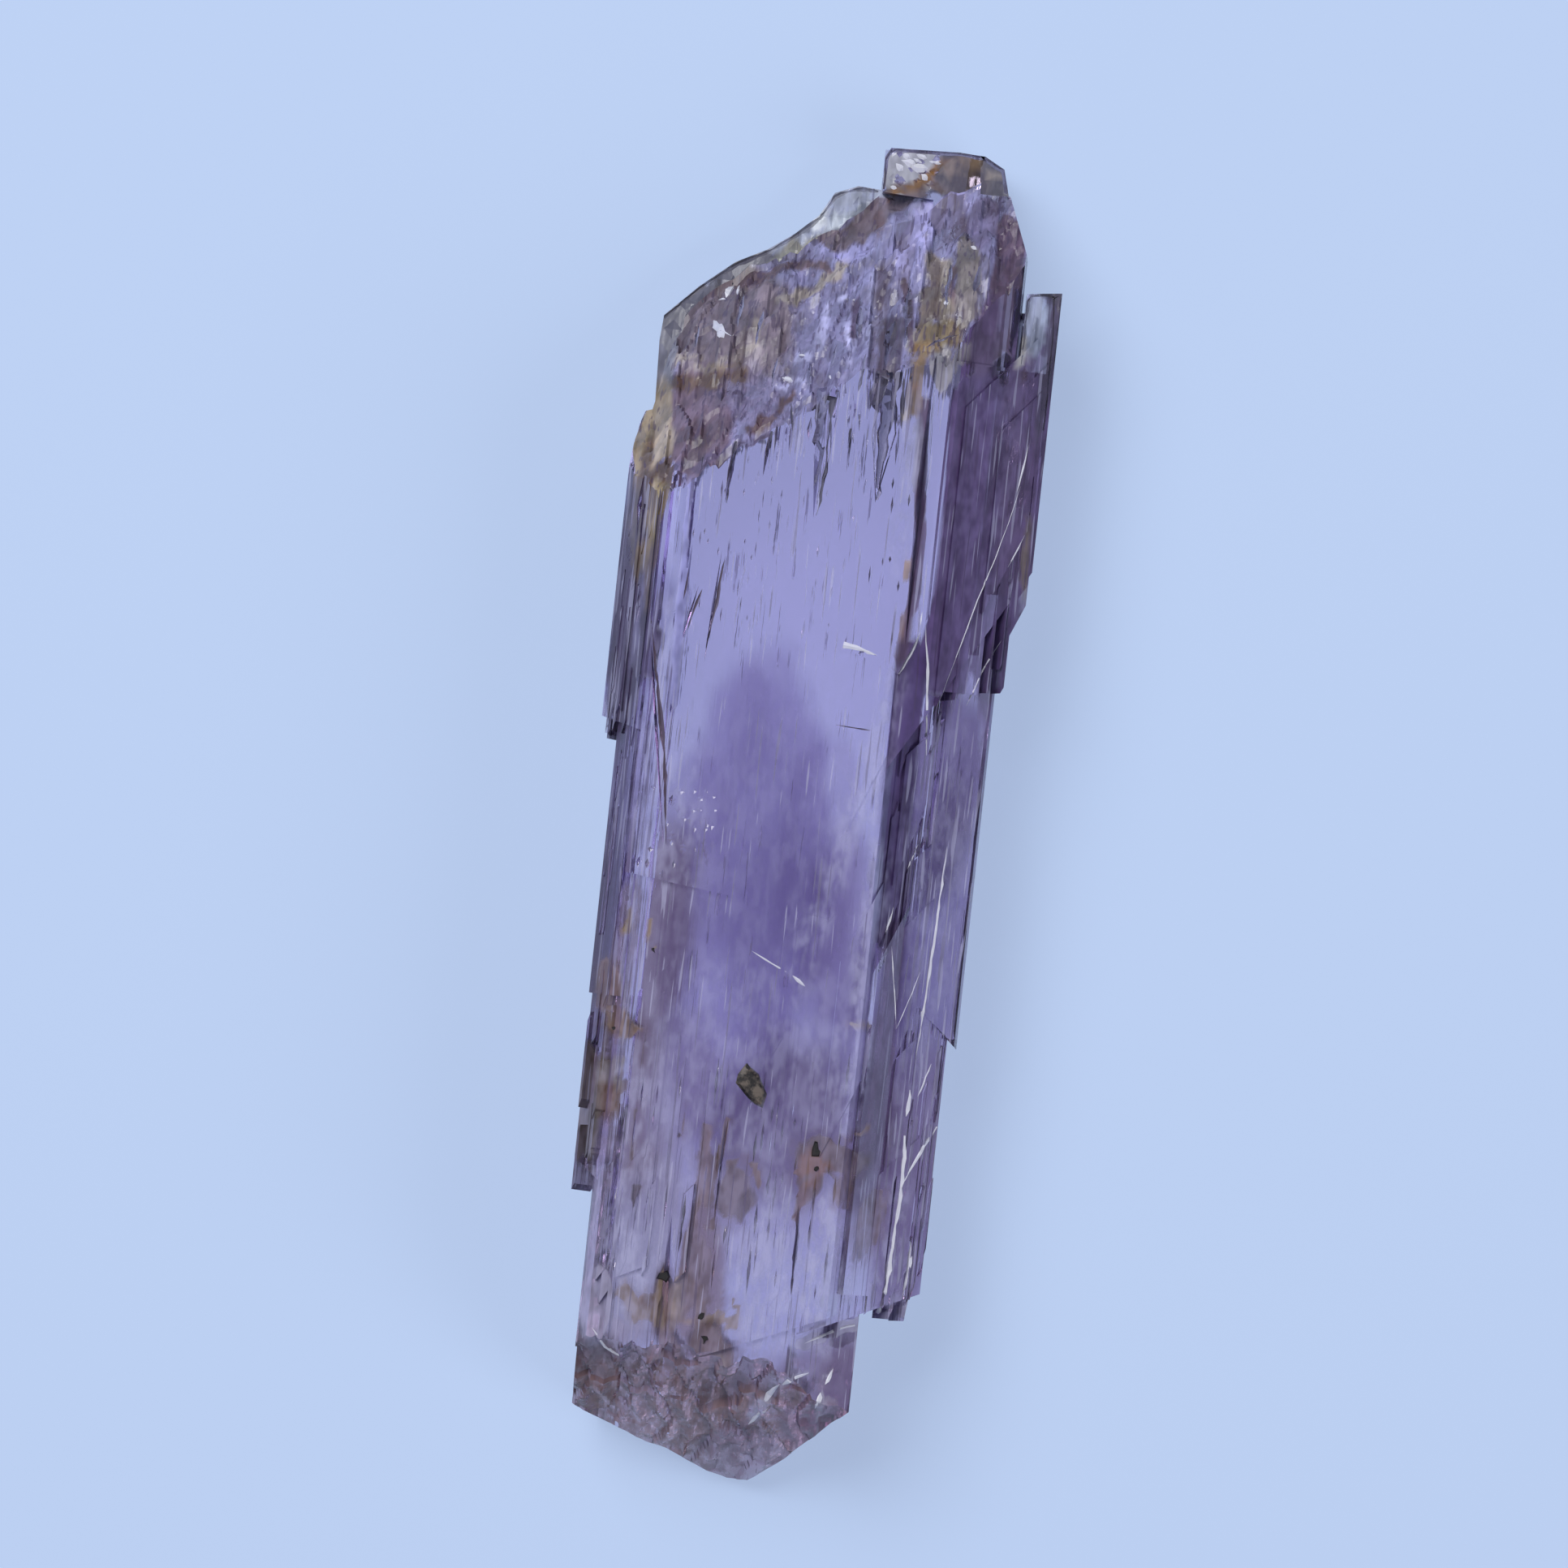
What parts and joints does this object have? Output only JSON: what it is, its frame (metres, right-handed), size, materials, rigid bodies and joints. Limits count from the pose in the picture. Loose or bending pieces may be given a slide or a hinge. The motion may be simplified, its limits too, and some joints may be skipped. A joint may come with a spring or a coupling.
{
  "type": "kunzite crystal",
  "caption": "Violet kunzite crystal: a flattened, lath-built prism with an etched oblique end and a broken end, lying on its flat back face.",
  "frame": {"origin": "middle of the crystal's bounding box in X and Y, on the plane of its flat back face", "axes": "+Y along the crystal's length towards the etched end, +Z out of the broad front face, +X towards the wide right flank"},
  "size_m": [0.0152, 0.0498, 0.0075],
  "materials": {
    "kunzite": "clear violet crystal, etched and iron-stained at its ends"
  },
  "bodies": {
    "root": {"kunzite_crystal": "kunzite"}
  },
  "joints": []
}
